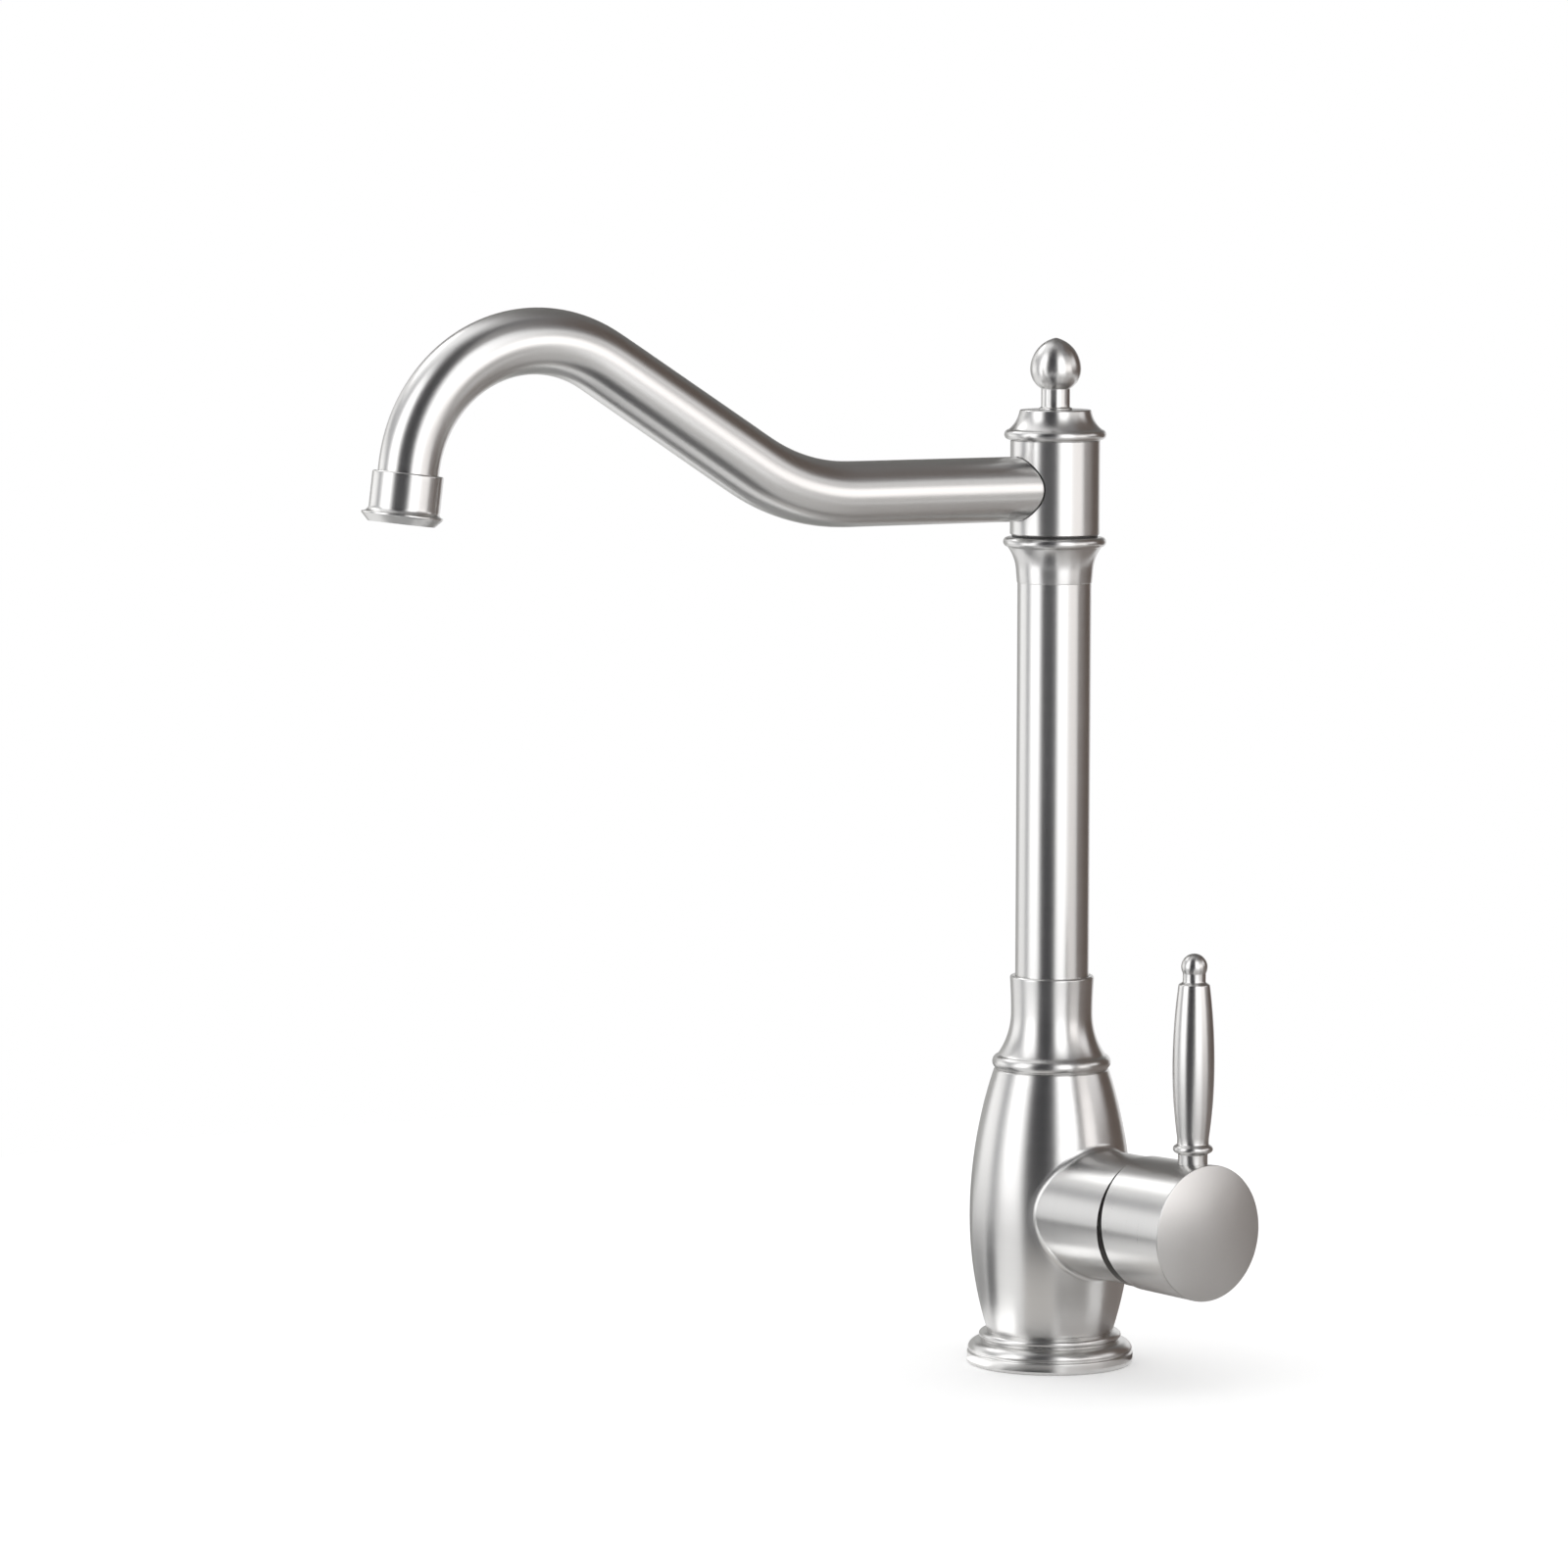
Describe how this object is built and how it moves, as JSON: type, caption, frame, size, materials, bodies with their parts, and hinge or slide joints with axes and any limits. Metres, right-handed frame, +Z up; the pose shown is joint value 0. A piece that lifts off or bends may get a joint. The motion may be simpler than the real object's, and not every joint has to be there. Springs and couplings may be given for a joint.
{
  "type": "gooseneck bar faucet",
  "caption": "Gooseneck bar faucet: turned body on a stepped deck flange, tall riser, swivelling swan-neck spout with acorn finial, and a side hub with an upright turned lever.",
  "frame": {"origin": "centre of the deck hole on the deck surface, on the axis of the body and riser", "axes": "+Z up along the riser; the spout points along -X at rest; the handle axis points 99.4 degrees from the spout, mostly along -Y"},
  "size_m": [0.2983, 0.1124, 0.4173],
  "materials": {
    "satin_steel": "satin, finely brushed round each turned piece",
    "plain_steel": "machined",
    "brass": "machined",
    "black_rubber": "matt",
    "dark_nylon": "matt",
    "cartridge_plastic": "matt, moulded",
    "ceramic": "lapped"
  },
  "bodies": {
    "root": {"base_flange": "satin_steel", "base_seal": "black_rubber", "threaded_shank": "plain_steel", "rubber_washer": "black_rubber", "steel_washer": "plain_steel", "mounting_nut": "plain_steel", "barrel_body": "satin_steel", "inlet_manifold": "brass", "neck_sleeve": "satin_steel", "riser_tube": "satin_steel", "riser_top_collar": "satin_steel", "swivel_spigot": "brass", "spigot_orings": "black_rubber", "glide_ring": "dark_nylon", "thrust_washer": "dark_nylon", "spout_circlip": "plain_steel", "port_seals": "black_rubber", "cartridge_base": "cartridge_plastic", "fixed_disc": "ceramic", "cartridge_shell": "cartridge_plastic", "cartridge_nut": "brass", "bonnet": "dark_nylon"},
    "spout": {"swivel_head": "satin_steel", "top_cap": "satin_steel", "finial": "satin_steel", "spout_tube": "satin_steel", "outlet_collar": "satin_steel", "aerator_washer": "black_rubber", "aerator_ring": "plain_steel", "aerator_screen": "plain_steel", "aerator_insert": "cartridge_plastic"},
    "rotor": {"cartridge_rotor": "cartridge_plastic", "pivot_pin": "plain_steel"},
    "disc": {"moving_disc": "ceramic", "disc_carrier": "cartridge_plastic"},
    "lever": {"cartridge_stem": "plain_steel", "handle_hub": "satin_steel", "set_screw": "plain_steel", "lever_spindle": "satin_steel"}
  },
  "joints": [
    {"name": "spout_swivel", "type": "hinge", "parent": "root", "child": "spout", "pos_m": [0, 0, 0.3029], "axis": [0, 0, 1], "continuous": true},
    {"name": "handle_turn", "type": "hinge", "parent": "root", "child": "rotor", "pos_m": [0, 0, 0.0551], "axis": [0.1633, -0.9866, 0], "range_deg": [-50, 50]},
    {"name": "handle_tilt", "type": "hinge", "parent": "rotor", "child": "lever", "pos_m": [0.00573, -0.03463, 0.0551], "axis": [0.9866, 0.1633, 0], "range_deg": [0, 25]},
    {"name": "disc_slide", "type": "slide", "parent": "rotor", "child": "disc", "axis": [0, 0, 1], "range_m": [0, 0.0036]}
  ],
  "couplings": [
    {"joint": "disc_slide", "follows": "handle_tilt", "m_per_rad": 0.008}
  ]
}
